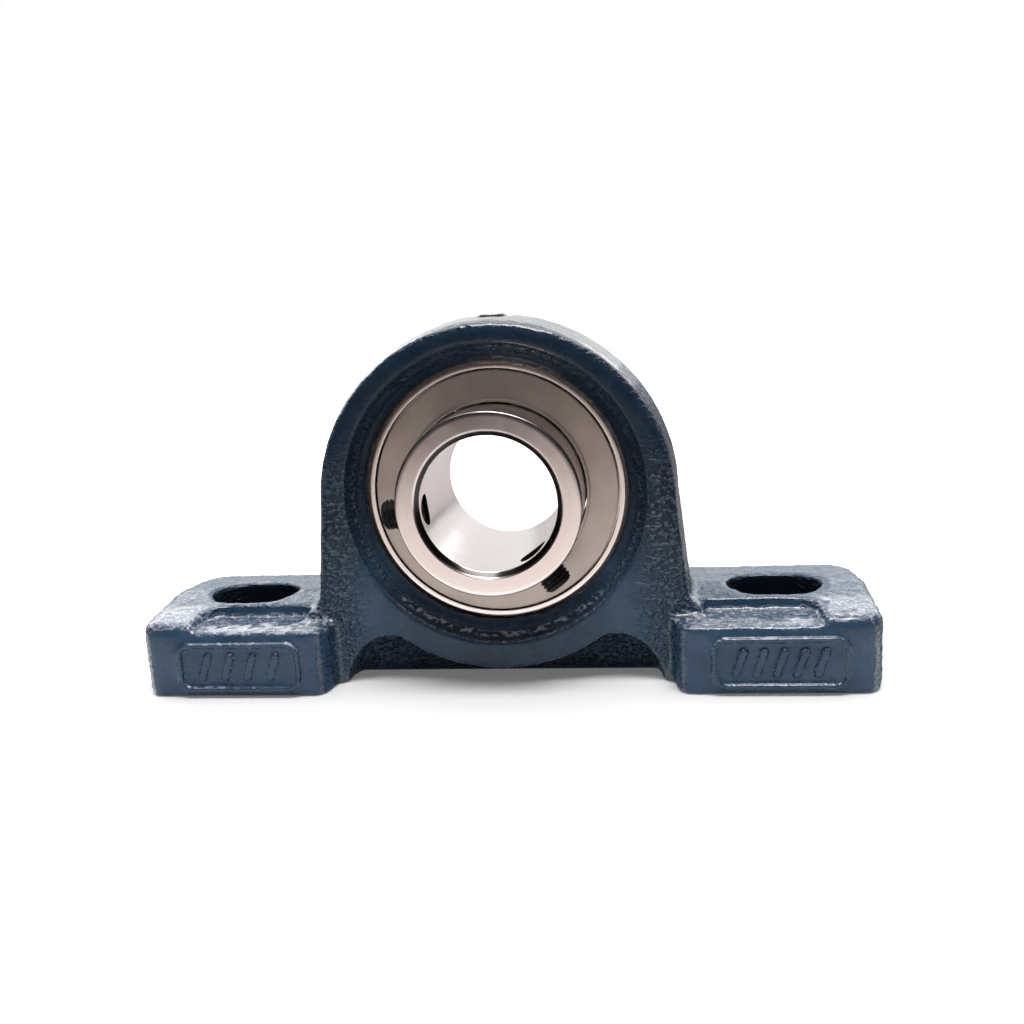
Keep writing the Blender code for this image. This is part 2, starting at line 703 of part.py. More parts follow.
def cage():
    rivet_holes()
    cage_half("cage_front")
    cage_half("cage_back").rotation_euler = (0, math.pi, 0)
    face = GAP / 2 + CAGE_SHEET + 0.2 * MM
    profile = [
        (0, face + RIVET_HEAD),
        (RIVET_HEAD_RADIUS, face + RIVET_HEAD / 2),
        (RIVET_HEAD_RADIUS, face),
        (RIVET_RADIUS, face),
    ]
    profile += [(radius, -height) for radius, height in reversed(profile)]
    for number in range(BALL_COUNT):
        turn = math.radians(ball_angle(number + 0.5))
        rivet = turned(f"cage_rivet_{number + 1}", profile, insert_frame, closed=False, steps=8)
        rivet.location = (PITCH_RADIUS * math.cos(turn), PITCH_RADIUS * math.sin(turn), 0)
        as_part(rivet, "cage_steel")


def flipped(obj, back):
    """Turns a piece made for the set-screw side round to the other side."""
    if back:
        obj.rotation_euler = (0, math.pi, 0)
    return obj


def seal(name, back):
    """A rubber seal in the outer ring's seat, with a lip down to the inner ring."""
    rim = SEAL_SEAT_RADIUS - GAP
    lip = INNER_RING_RADIUS + GAP
    profile = [
        (rim, SEAL_TOP),
        (rim, SEAL_FLOOR),
        (rim - 1 * MM, SEAL_FLOOR),
        (rim - 1.6 * MM, SEAL_FLOOR + 0.4 * MM),
        (lip + 1.1 * MM, SEAL_FLOOR + 0.4 * MM),
        (lip, SEAL_FLOOR),
        (lip, SEAL_FLOOR + 0.5 * MM),
        (lip + 0.9 * MM, SEAL_TOP - 0.1 * MM),
    ]
    return as_part(flipped(turned(name, profile, insert_frame), back), "nitrile_rubber")


def slinger(name, back):
    """A pressed disc that turns with the inner ring, which its low collar grips."""
    face = OUTER_RING_WIDTH / 2
    rim = SEAL_SEAT_RADIUS - GAP
    grip = INNER_RING_RADIUS + SLINGER_GRIP_GAP
    profile = [
        (rim, face - 0.1 * MM),
        (rim, face - SLINGER_SHEET - 0.1 * MM),
        (grip, face - SLINGER_SHEET),
        (grip, face + SLINGER_COLLAR),
        (grip + 0.5 * MM, face + SLINGER_COLLAR),
        (grip + 0.8 * MM, face),
        (rim - 0.4 * MM, face),
    ]
    return as_part(flipped(turned(name, profile, insert_frame), back), "slinger_steel")


def grease_plug():
    """A socket plug, flush with the crown of the arch."""
    half = PLUG_LENGTH / 2
    edge = PLUG_EDGE
    profile = [(0, half), (PLUG_RADIUS - edge, half), (PLUG_RADIUS, half - edge)]
    profile += [(PLUG_RADIUS, edge - half), (PLUG_RADIUS - edge, -half), (0, -half)]
    plug = turned("grease_plug", profile, closed=False, steps=16)
    plug.location = (0, 0, ARCH_TOP - half)
    corner = SET_SCREW_SOCKET / math.sqrt(3)
    socket = cylinder("plug_socket", corner, 2 * PLUG_SOCKET_DEPTH, 6)
    socket.location = (0, 0, ARCH_TOP)
    boolean(plug, "DIFFERENCE", as_cutter(socket))
    return as_part(plug, "zinc_plate")


clear_scene()
parts = new_collection("pillow_block_bearing")
cutters = new_collection("cutters")

insert_frame = bpy.data.objects.new("insert_frame", None)
insert_frame.location = (0, 0, SHAFT_HEIGHT)
insert_frame.rotation_euler = (math.pi / 2, 0, 0)
parts.objects.link(insert_frame)

housing()
outer_ring()
anti_rotation_pin()
inner_ring()
for screw_number, screw_angle in enumerate(SET_SCREW_ANGLES, 1):
    set_screw(screw_number, screw_angle)
balls()
cage()
for side_name, is_back in (("front", False), ("back", True)):
    seal(f"seal_{side_name}", is_back)
    slinger(f"slinger_{side_name}", is_back)
grease_plug()
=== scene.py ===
"""Looks of a pillow block ball bearing: a painted casting round a bright bearing insert with black
set screws, on a pale floor in soft light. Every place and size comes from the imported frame."""

import itertools
import json
import math

import bmesh
import bpy
import numpy as np
from mathutils import Matrix, Vector

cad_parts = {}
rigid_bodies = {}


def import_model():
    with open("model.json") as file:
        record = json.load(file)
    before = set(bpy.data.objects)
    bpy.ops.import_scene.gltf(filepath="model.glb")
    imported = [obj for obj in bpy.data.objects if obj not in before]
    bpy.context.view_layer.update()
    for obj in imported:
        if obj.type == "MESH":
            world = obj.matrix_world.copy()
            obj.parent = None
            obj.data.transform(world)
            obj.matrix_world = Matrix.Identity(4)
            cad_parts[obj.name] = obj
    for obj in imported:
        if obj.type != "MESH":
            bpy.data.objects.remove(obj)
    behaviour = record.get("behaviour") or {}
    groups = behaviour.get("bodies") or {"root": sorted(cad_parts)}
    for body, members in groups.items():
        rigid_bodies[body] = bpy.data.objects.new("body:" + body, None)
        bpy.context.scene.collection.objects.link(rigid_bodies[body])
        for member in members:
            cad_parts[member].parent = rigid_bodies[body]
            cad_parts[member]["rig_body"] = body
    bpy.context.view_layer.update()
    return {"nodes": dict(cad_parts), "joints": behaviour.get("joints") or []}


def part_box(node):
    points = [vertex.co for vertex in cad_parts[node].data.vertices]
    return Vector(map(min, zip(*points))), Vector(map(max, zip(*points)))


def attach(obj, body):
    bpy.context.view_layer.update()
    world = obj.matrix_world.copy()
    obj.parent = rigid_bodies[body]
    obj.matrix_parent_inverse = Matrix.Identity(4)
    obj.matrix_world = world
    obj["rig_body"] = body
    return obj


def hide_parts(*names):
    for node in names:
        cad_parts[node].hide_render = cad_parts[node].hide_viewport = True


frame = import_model()

MM = 0.001
ROUND_STEPS = 144

SHAFT = Vector(next(j["pos_m"] for j in frame["joints"] if j["name"] == "shaft_spin"))


def node_radius(node):
    low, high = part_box(node)
    return (high.x - low.x) / 2


# Numbers in mm. Turned profiles are (radius, distance from the middle towards the front, corner
# radius), because the front of the bearing, its set-screw side, faces -Y.
BORE_RADIUS = 12.5
INNER_RADIUS = node_radius("inner_ring") / MM
RING_FRONT = (SHAFT.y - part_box("inner_ring")[0].y) / MM
RING_BACK = (SHAFT.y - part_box("inner_ring")[1].y) / MM
OUTER_SPHERE = node_radius("outer_ring") / MM
OUTER_HALF = (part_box("outer_ring")[1].y - SHAFT.y) / MM
SEAL_RADIUS = node_radius("seal_front") / MM
SLINGER_RADIUS = node_radius("slinger_front") / MM
SLINGER_FACE = OUTER_HALF
PITCH_RADIUS = 19.25
BALL_RADIUS = (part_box("ball_1")[1].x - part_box("ball_1")[0].x) / 2 / MM
GROOVE_RADIUS = BALL_RADIUS + 0.23
SCREW_RADIUS = 2.85
SCREW_LENGTH = 6
SCREW_PITCH = 0.75
SOCKET_SIZE = 3.0
SEAT_GAP = 0.3
VOXEL = 0.6
SLOT_MIDDLE = 52.5
PLATE_MIDDLES = ((-49.9, 6.2), (51.3, 6.2))
PLATE_HALF_SIZE = (11.7, 4.4)
PLATE_CORNER = 2.2
PLATE_RISE = 0.55
PLATE_BARS = (4, 5)
NOISE_SEED = 11
NOISE_CELLS = 64

# The camera's place in metres and its turns in degrees.
CAMERA_PLACE = (0.02704, -0.19643, 0.07349)
CAMERA_HEADING = 7.47
CAMERA_TILT = -12.14
CAMERA_ROLL = 3.12

# Colours that the materials share. All four are painted light: a painted shade, a painted
# dark reflection on steel, a painted highlight on crests and a painted glint on ledges.
PAINTED_SHADE = (0.003, 0.003, 0.006, 1)
PAINTED_DARK_REFLECTION = (0.05, 0.045, 0.045, 1)
PAINTED_CREST_HIGHLIGHT = (0.050, 0.085, 0.125, 1)
PAINTED_GLINT = (0.42, 0.44, 0.58, 1)


# Node materials -----------------------------------------------------------------------------


class Shader:
    """A Principled material, with short ways to add nodes in front of its sockets."""

    def __init__(self, name, **constants):
        self.material = bpy.data.materials.new(name)
        self.material.use_nodes = True
        self.tree = self.material.node_tree
        self.surface = self.tree.nodes["Principled BSDF"]
        for socket, value in constants.items():
            self.surface.inputs[socket.replace("_", " ")].default_value = value
        places = self.add("ShaderNodeTexCoord")
        self.position = places.outputs["Object"]
        self.normal = places.outputs["Normal"]

    def add(self, kind, **settings):
        node = self.tree.nodes.new(kind)
        for name, value in settings.items():
            setattr(node, name, value)
        return node

    def feed(self, socket, source):
        if isinstance(source, bpy.types.NodeSocket):
            self.tree.links.new(source, socket)
        else:
            socket.default_value = source

    def set(self, socket, source):
        self.feed(self.surface.inputs[socket], source)

    def maths(self, operation, first, second=0.0):
        node = self.add("ShaderNodeMath", operation=operation)
        self.feed(node.inputs[0], first)
        self.feed(node.inputs[1], second)
        return node.outputs[0]

    def stretched(self, scale, vector=None):
        node = self.add("ShaderNodeVectorMath", operation="MULTIPLY")
        self.feed(node.inputs[0], vector or self.position)
        node.inputs[1].default_value = scale
        return node.outputs[0]

    def noise(self, size, detail=3.0, vector=None, roughness=0.55):
        """Noise whose blotches are about this many mm across."""
        node = self.add("ShaderNodeTexNoise")
        self.feed(node.inputs["Vector"], vector or self.position)
        node.inputs["Scale"].default_value = 1 / (size * MM)
        node.inputs["Detail"].default_value = detail
        node.inputs["Roughness"].default_value = roughness
        return node.outputs[0]

    def range(self, value, low, high, out_low, out_high):
        node = self.add("ShaderNodeMapRange")
        for socket, source in zip(node.inputs, (value, low, high, out_low, out_high)):
            self.feed(socket, source)
        return node.outputs[0]

    def colours(self, value, *stops):
        node = self.add("ShaderNodeValToRGB")
        self.feed(node.inputs[0], value)
        elements = node.color_ramp.elements
        while len(elements) < len(stops):
            elements.new(0.5)
        for element, (place, colour) in zip(elements, stops):
            element.position = place
            element.color = (*colour, 1)
        return node.outputs[0]

    def bump(self, height, depth, under=None):
        """Adds a height from 0 to 1 that is this many mm deep."""
        node = self.add("ShaderNodeBump")
        node.inputs["Distance"].default_value = depth * MM
        self.feed(node.inputs["Height"], height)
        if under:
            self.feed(node.inputs["Normal"], under)
        return node.outputs[0]

    def both(self, first, second):
        """Two masks from 0 to 1 together."""
        return self.maths("MULTIPLY", first, second)

    def blend(self, share, first, second):
        """From the first colour at a share of 0 to the second at 1."""
        node = self.add("ShaderNodeMix", data_type="RGBA")
        self.feed(node.inputs["Factor"], share)
        self.feed(node.inputs[6], first)
        self.feed(node.inputs[7], second)
        return node.outputs[2]

    def parts(self, vector):
        node = self.add("ShaderNodeSeparateXYZ")
        self.feed(node.inputs[0], vector)
        return node.outputs[0], node.outputs[1], node.outputs[2]

    def step(self, value, low, high):
        """Rises smoothly from 0 at low to 1 at high. It falls when low is over high."""
        node = self.add("ShaderNodeMapRange", interpolation_type="SMOOTHSTEP")
        for socket, source in zip(node.inputs, (value, low, high)):
            self.feed(socket, source)
        return node.outputs[0]

    def from_shaft(self):
        """Distance from the shaft's axis, in metres."""
        x, _, z = self.parts(self.position)
        height = self.maths("SUBTRACT", z, SHAFT.z)
        squares = self.maths("ADD", self.maths("MULTIPLY", x, x), self.maths("MULTIPLY", height, height))
        return self.maths("SQRT", squares)

    def turning(self, spacing):
        """Noise that runs round the shaft's axis, like the marks of a lathe or a grinding wheel."""
        joined = self.add("ShaderNodeCombineXYZ")
        self.feed(joined.inputs["X"], self.from_shaft())
        self.feed(joined.inputs["Y"], self.parts(self.position)[1])
        return self.noise(spacing, detail=2.0, vector=joined.outputs[0])


def paint():
    """Thick glossy dark blue enamel over a sand-cast skin, with painted light and shade in its colour.

    The skin is coarse on the shoulders of the body, in one ring of the seat's recess, under the
    body and wherever a face looks neither forwards nor backwards. It is finer high on the arch and
    on top of the feet.
    """
    shader = Shader("cast_paint", IOR=1.36, Coat_Roughness=0.1)
    x, y, z = shader.parts(shader.position)
    leaning, facing, upward = shader.parts(shader.normal)
    sideways = shader.maths("ABSOLUTE", x)
    radius = shader.from_shaft()
    front_wall = shader.step(shader.maths("ABSOLUTE", facing), 0.8, 0.9)
    shoulder = shader.both(shader.step(sideways, 24 * MM, 31 * MM), shader.step(z, 50 * MM, 40 * MM))
    shoulder = shader.both(shoulder, shader.step(sideways, 38 * MM, 36.5 * MM))
    shoulder = shader.both(shoulder, shader.step(y, -16 * MM, -14.5 * MM))
    recess = shader.both(shader.step(radius, 28.4 * MM, 28.2 * MM), shader.step(y, -11.6 * MM, -11.2 * MM))
    rough_ring = shader.both(shader.step(radius, 26.7 * MM, 27.0 * MM), recess)
    rough_ring = shader.both(rough_ring, shader.step(radius, 27.9 * MM, 27.5 * MM))
    from_middle = shader.maths("ABSOLUTE", y)
    web = shader.both(shader.step(from_middle, 8 * MM, 7 * MM), shader.step(z, 12 * MM, 10 * MM))
    web = shader.both(web, shader.step(sideways, 35 * MM, 33 * MM))
    beside_slot = shader.maths("ABSOLUTE", shader.maths("SUBTRACT", sideways, SLOT_MIDDLE * MM))
    in_slot = shader.both(
        shader.step(beside_slot, 9.6 * MM, 9.2 * MM), shader.step(from_middle, 7 * MM, 6.6 * MM)
    )
    in_slot = shader.both(in_slot, shader.step(z, 15.6 * MM, 14.6 * MM))
    blotches = shader.noise(6.0, detail=5.0)
    # Lit and shaded copies of the paint: lighter low on the body as painted light from the floor, darker high
    # up and under the middle as painted shade.
    low = shader.colours(blotches, (0.32, (0.026, 0.060, 0.112)), (0.68, (0.044, 0.088, 0.150)))
    high = shader.colours(blotches, (0.32, (0.009, 0.022, 0.044)), (0.68, (0.016, 0.034, 0.062)))
    upper = shader.step(z, 14 * MM, 34 * MM)
    belly = shader.maths("MULTIPLY", shader.step(sideways, 26 * MM, 15 * MM), 0.55)
    colour = shader.blend(shader.maths("MAXIMUM", upper, belly), low, high)
    faint_recess = shader.maths("MULTIPLY", recess, 0.35)
    faint_web = shader.maths("MULTIPLY", web, 0.5)
    # Painted shade: the walls of the slots, the recess and the web under the body are darkened towards near
    # black.
    painted_shade_mask = shader.maths("MAXIMUM", in_slot, shader.maths("MAXIMUM", faint_recess, faint_web))
    colour = shader.blend(shader.maths("MULTIPLY", painted_shade_mask, 0.9), colour, PAINTED_SHADE)
    shader.set("Roughness", shader.range(shader.noise(2.5), 0.3, 0.7, 0.22, 0.34))
    coarse = shader.both(shader.maths("SUBTRACT", 1.0, front_wall), shader.maths("SUBTRACT", 1.0, recess))
    dull = shader.step(shader.maths("ABSOLUTE", leaning), 0.6, 0.85)
    dull = shader.maths("MAXIMUM", painted_shade_mask, dull)
    bright = shader.maths("SUBTRACT", 1.0, dull)
    bolt_seat = shader.both(shader.step(upward, 0.6, 0.85), shader.step(y, -9.5 * MM, -7.5 * MM))
    bolt_seat = shader.both(bolt_seat, shader.step(z, 22 * MM, 20 * MM))
    coarse = shader.both(coarse, shader.range(bolt_seat, 0.0, 1.0, 1.0, 0.4))
    shader.set("Coat Weight", shader.both(coarse, bright))
    shader.set("Specular IOR Level", shader.range(bright, 0.0, 1.0, 0.08, 0.5))
    for place in (shoulder, rough_ring, web):
        coarse = shader.maths("MAXIMUM", coarse, place)
    coarse = shader.both(coarse, shader.range(shader.step(z, 34 * MM, 46 * MM), 0.0, 1.0, 1.0, 0.3))
    grains = shader.noise(1.05, detail=1.0, vector=shader.stretched((1, 1, 1.7)), roughness=0.3)
    grains = shader.step(grains, 0.42, 0.64)
    amount = shader.range(coarse, 0.0, 1.0, 0.02, 1.0)
    crests = shader.both(grains, amount)
    # Painted glints: crests of the skin that face upwards along the feet's front ledges are lighter.
    ledge = shader.both(shader.step(y, -7 * MM, -10 * MM), shader.step(z, 18 * MM, 16.5 * MM))
    painted_glints = shader.both(shader.both(crests, shader.step(upward, 0.1, 0.7)), ledge)
    # Painted shade in the valleys of the skin on the shoulders.
    valleys = shader.both(shoulder, shader.maths("SUBTRACT", 1.0, grains))
    colour = shader.blend(shader.maths("MULTIPLY", valleys, 0.35), colour, PAINTED_SHADE)
    # Painted highlights: the crests of the skin on the shoulders and in the recess's rough ring are lighter.
    colour = shader.blend(shader.both(crests, shader.maths("MAXIMUM", shoulder, rough_ring)), colour, PAINTED_CREST_HIGHLIGHT)
    shader.set("Base Color", shader.blend(shader.maths("MULTIPLY", painted_glints, 0.6), colour, PAINTED_GLINT))
    skin = shader.bump(crests, 0.6)
    shader.set("Normal", shader.bump(shader.noise(2.6, detail=2.0), 0.06, skin))
    return shader.material


def machined_iron():
    """Bare grey iron with cutter marks, on the seat and the base."""
    shader = Shader("machined_iron", Metallic=0.85, Roughness=0.42)
    marks = shader.noise(0.5, vector=shader.stretched((1, 0.08, 1)))
    shader.set("Base Color", shader.colours(marks, (0.3, (0.20, 0.20, 0.20)), (0.7, (0.32, 0.32, 0.31))))
    shader.set("Roughness", shader.range(shader.noise(4.0), 0.3, 0.7, 0.35, 0.5))
    shader.set("Normal", shader.bump(marks, 0.01))
    return shader.material


def ground_steel():
    """Bright ground bearing steel, with a painted dark reflection on the bore's chamfer and on the outer
    corner of the front face.
    """
    shader = Shader("bearing_steel", Metallic=1.0, Roughness=0.2)
    marks = shader.turning(0.16)
    radius = shader.from_shaft()
    # Painted dark reflection on the bore's chamfer.
    chamfer = shader.both(
        shader.step(radius, (BORE_RADIUS + 0.05) * MM, (BORE_RADIUS + 0.15) * MM),
        shader.step(radius, (BORE_RADIUS + 1.05) * MM, (BORE_RADIUS + 0.75) * MM),
    )
    x, y, z = shader.parts(shader.position)
    # Painted dark reflection on the outer corner of the front face.
    rim = shader.both(
        shader.step(radius, (INNER_RADIUS - 0.4) * MM, (INNER_RADIUS - 0.15) * MM),
        shader.step(y, (0.9 - RING_FRONT) * MM, (0.6 - RING_FRONT) * MM),
    )
    rim = shader.both(rim, shader.step(radius, (INNER_RADIUS + 0.4) * MM, (INNER_RADIUS + 0.3) * MM))
    colour = shader.colours(marks, (0.3, (0.70, 0.64, 0.62)), (0.7, (0.80, 0.74, 0.72)))
    colour = shader.blend(shader.maths("MULTIPLY", rim, 0.7), colour, PAINTED_DARK_REFLECTION)
    shader.set("Base Color", shader.blend(chamfer, colour, PAINTED_DARK_REFLECTION))
    shader.set("Roughness", shader.range(shader.noise(5.0), 0.3, 0.7, 0.16, 0.24))
    shader.set("Normal", shader.bump(marks, 0.0012))
    return shader.material


def ball_steel():
    shader = Shader("ball_steel", Metallic=1.0, Roughness=0.06)
    tints = (0.3, (0.66, 0.66, 0.66)), (0.7, (0.74, 0.74, 0.74))
    shader.set("Base Color", shader.colours(shader.noise(3.0), *tints))
    shader.set("Roughness", shader.range(shader.noise(1.0), 0.3, 0.7, 0.04, 0.09))
    return shader.material


def slinger_steel():
    """Pressed sheet with a warm satin finish."""
    shader = Shader("slinger_steel", Metallic=1.0, Roughness=0.42)
    grain = shader.noise(0.12, detail=3.0)
    clouds = shader.noise(7.0)
    shader.set("Base Color", shader.colours(clouds, (0.3, (0.56, 0.48, 0.43)), (0.7, (0.64, 0.56, 0.51))))
    shader.set("Roughness", shader.range(grain, 0.3, 0.7, 0.52, 0.64))
    shader.set("Normal", shader.bump(grain, 0.004))
    return shader.material


def cage_steel():
    shader = Shader("cage_steel", Metallic=1.0, Roughness=0.4)
    tints = (0.3, (0.46, 0.46, 0.45)), (0.7, (0.6, 0.6, 0.58))
    shader.set("Base Color", shader.colours(shader.noise(2.0), *tints))
    shader.set("Normal", shader.bump(shader.noise(0.3), 0.005))
    return shader.material


def nitrile():
    shader = Shader("nitrile_rubber", Roughness=0.6)
    tints = (0.3, (0.008, 0.008, 0.008)), (0.7, (0.016, 0.016, 0.016))
    shader.set("Base Color", shader.colours(shader.noise(1.5), *tints))
    shader.set("Normal", shader.bump(shader.noise(0.25), 0.01))
    return shader.material


def black_oxide():
    shader = Shader("black_oxide", Metallic=0.6, Roughness=0.4)
    wear = shader.noise(0.8, detail=4.0)
    tints = (0.35, (0.010, 0.010, 0.011)), (0.75, (0.035, 0.034, 0.033))
    shader.set("Base Color", shader.colours(wear, *tints))
    shader.set("Roughness", shader.range(shader.noise(0.4), 0.3, 0.7, 0.32, 0.5))
    shader.set("Normal", shader.bump(shader.noise(0.2), 0.004))
    return shader.material


def zinc():
    shader = Shader("zinc_plate", Metallic=1.0, Roughness=0.35)
    tints = (0.3, (0.40, 0.41, 0.43)), (0.7, (0.56, 0.57, 0.58))
    shader.set("Base Color", shader.colours(shader.noise(1.2), *tints))
    shader.set("Normal", shader.bump(shader.noise(0.3), 0.004))
    return shader.material


# Meshes -------------------------------------------------------------------------------------


def piece(name, mesh, node, *materials, sharp_angle=32):
    """A mesh in the frame's place that stands for one CAD node and moves with that node's body."""
    obj = bpy.data.objects.new(name, mesh)
    bpy.context.scene.collection.objects.link(obj)
    mesh.materials.clear()
    for material in materials:
        mesh.materials.append(material)
    mesh.shade_smooth()
    mesh.set_sharp_from_angle(angle=math.radians(sharp_angle))
    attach(obj, frame["nodes"][node]["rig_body"])
    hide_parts(node)
    return obj


def rounded(profile, steps=4):
    """Rounds each corner of a closed outline of (x, y, corner radius)."""
    points = []
    count = len(profile)
    for index, (x, y, radius) in enumerate(profile):
        here = np.array((x, y))
        before = np.array(profile[index - 1][:2]) - here
        after = np.array(profile[(index + 1) % count][:2]) - here
        if radius == 0:
            points.append(tuple(here))
            continue
        before_length, after_length = np.linalg.norm(before), np.linalg.norm(after)
        before, after = before / before_length, after / after_length
        half = math.acos(max(-1, min(1, before @ after))) / 2
        reach = min(radius / math.tan(half), 0.49 * before_length, 0.49 * after_length)
        radius = reach * math.tan(half)
        centre = here + (before + after) / np.linalg.norm(before + after) * radius / math.sin(half)
        first, last = here + before * reach - centre, here + after * reach - centre
        turn = math.pi - 2 * half
        for step in range(steps + 1):
            share = step / steps
            arm = first * math.sin((1 - share) * turn) + last * math.sin(share * turn)
            points.append(tuple(centre + arm / math.sin(turn)))
    return points


def mesh_of_rings(name, rings, closed):
    """Joins rings of equal length. Open ends are filled when the stack isn't closed."""
    shape = bmesh.new()
    rows = [[shape.verts.new(place) for place in ring] for ring in rings]
    pairs = zip(rows, rows[1:] + rows[:1]) if closed else zip(rows, rows[1:])
    for this, following in pairs:
        for i in range(len(this)):
            j = (i + 1) % len(this)
            shape.faces.new((this[i], this[j], following[j], following[i]))
    if not closed:
        shape.faces.new(rows[0])
        shape.faces.new(rows[-1])
    bmesh.ops.recalc_face_normals(shape, faces=shape.faces)
    mesh = bpy.data.meshes.new(name)
    shape.to_mesh(mesh)
    shape.free()
    return mesh


def turned(name, profile, steps=ROUND_STEPS, closed=True):
    """A profile of (radius, distance to the front) in mm, turned round the shaft's axis."""
    rings = []
    for radius, front in profile:
        ring = []
        for step in range(steps):
            turn = 2 * math.pi * step / steps
            across = Vector((math.cos(turn), 0, math.sin(turn))) * radius * MM
            ring.append(SHAFT + across - Vector((0, front * MM, 0)))
        rings.append(ring)
    return mesh_of_rings(name, rings, closed)


def arc(centre_x, centre_y, radius, start, end, steps):
    angles = [math.radians(start + (end - start) * step / steps) for step in range(steps + 1)]
    return [(centre_x + radius * math.cos(a), centre_y + radius * math.sin(a), 0) for a in angles]


def cut(target, cutter):
    """Takes one object out of another, and removes the cutter."""
    modifier = target.modifiers.new("cut", "BOOLEAN")
    modifier.operation = "DIFFERENCE"
    modifier.solver = "EXACT"
    modifier.object = cutter
    mesh = baked(target)
    bpy.data.objects.remove(cutter)
    return mesh


def baked(obj):
    """The object's mesh with its modifiers applied. The object itself is removed."""
    graph = bpy.context.evaluated_depsgraph_get()
    mesh = bpy.data.meshes.new_from_object(obj.evaluated_get(graph))
    bpy.data.objects.remove(obj)
    return mesh


def loose(name, mesh):
    obj = bpy.data.objects.new(name, mesh)
    bpy.context.scene.collection.objects.link(obj)
    return obj


# Bearing insert -----------------------------------------------------------------------------


def screw_axis(node):
    """The middle of a set screw, and the direction that it is screwed out in."""
    joint = next(j for j in frame["joints"] if j["name"] == f"{node}_slide")
    low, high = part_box(node)
    return (low + high) / 2, Vector(joint["axis"])


def radial_frame(middle, outward):
    """Turns local z into the outward direction, round the middle."""
    return Matrix.Translation(middle) @ outward.to_track_quat("Z", "Y").to_matrix().to_4x4()


def stack(name, place, rings):
    """A closed solid of rings given as lists of local (x, y, z) in mm."""
    return mesh_of_rings(name, [[place @ (Vector(p) * MM) for p in ring] for ring in rings], False)


def circle(radius, height, sides):
    angles = [2 * math.pi * side / sides for side in range(sides)]
    return [(radius * math.cos(a), radius * math.sin(a), height) for a in angles]


def inner_ring(steel):
    """Ground ring with its ball groove, and a plain round hole for each set screw."""
    groove = math.degrees(math.acos((PITCH_RADIUS - INNER_RADIUS) / GROOVE_RADIUS))
    profile = [(BORE_RADIUS + 1.1, RING_FRONT, 0.15), (BORE_RADIUS + 1.4, RING_FRONT, 0)]
    profile += [(INNER_RADIUS - 1.0, RING_FRONT, 0), (INNER_RADIUS, RING_FRONT, 0.55)]
    profile += [(INNER_RADIUS, front, 0) for front in np.linspace(RING_FRONT - 1.6, 9.0, 14)]
    profile += arc(PITCH_RADIUS, 0, GROOVE_RADIUS, 180 - groove, 180 + groove, 16)
    profile += [(INNER_RADIUS, RING_BACK, 0.6), (BORE_RADIUS + 1.0, RING_BACK, 0.15)]
    profile += [(BORE_RADIUS, RING_BACK + 1.0, 0.2)]
    profile += [(BORE_RADIUS, front, 0) for front in np.linspace(9.0, RING_FRONT - 2.2, 14)]
    profile += [(BORE_RADIUS, RING_FRONT - 1.1, 0.2)]
    mesh = turned("inner_ring_ground", rounded(profile))
    for node in ("set_screw_1", "set_screw_2"):
        mesh = cut(loose("ring_blank", mesh), screw_hole(radial_frame(*screw_axis(node))))
    return piece("inner_ring_ground", mesh, "inner_ring", steel)


def screw_hole(place):
    """A cutter for a set screw's hole, without its thread: narrow at the bore, countersunk outside."""
    bore_side, outside = SCREW_RADIUS + 0.08, SCREW_RADIUS + 0.25
    steps = ((bore_side, -8), (bore_side, -3.1), (outside, -2.9), (outside, -1.15))
    steps += ((outside + 0.35, -0.8), (outside + 0.35, 5))
    rings = [circle(across, height, 40) for across, height in steps]
    return loose("screw_hole", stack("screw_hole", place, rings))


def thread_radius(turn, height):
    """A 60 degree thread with rounded crests, fading into a chamfer at each end."""
    phase = (height / SCREW_PITCH - turn / (2 * math.pi)) % 1.0
    depth = 0.54 * SCREW_PITCH
    flank = abs(2 * phase - 1)
    crest = SCREW_RADIUS - depth * min(1.0, max(0.0, 1.15 * flank - 0.08))
    end = SCREW_LENGTH / 2 - abs(height)
    return min(crest, SCREW_RADIUS - 0.62 + end)


def set_screw(node, oxide):
    """Cup-point socket set screw, with its thread modelled as a helix."""
    place = radial_frame(*screw_axis(node))
    half = SCREW_LENGTH / 2
    sides = 48
    rings = [circle(0.05, 0.75 - half, sides), circle(1.45, -half + 0.02, sides)]
    rings.append(circle(1.75, -half, sides))
    for height in np.linspace(-half, half, 81):
        ring = []
        for side in range(sides):
            turn = 2 * math.pi * side / sides
            radius = thread_radius(turn, height)
            ring.append((radius * math.cos(turn), radius * math.sin(turn), height))
        rings.append(ring)
    rings.append(circle(SCREW_RADIUS - 0.8, half, sides))
    screw = loose("screw_blank", stack("screw_blank", place, rings))
    corner = SOCKET_SIZE / math.sqrt(3)
    shape = ((0.1, half - 3.6), (corner, half - 2.8), (corner, half - 0.2), (corner + 0.4, half + 0.2))
    socket = loose("socket", stack("socket", place, [circle(r, z, 6) for r, z in shape]))
    return piece(f"{node}_threaded", cut(screw, socket), node, oxide, sharp_angle=40)


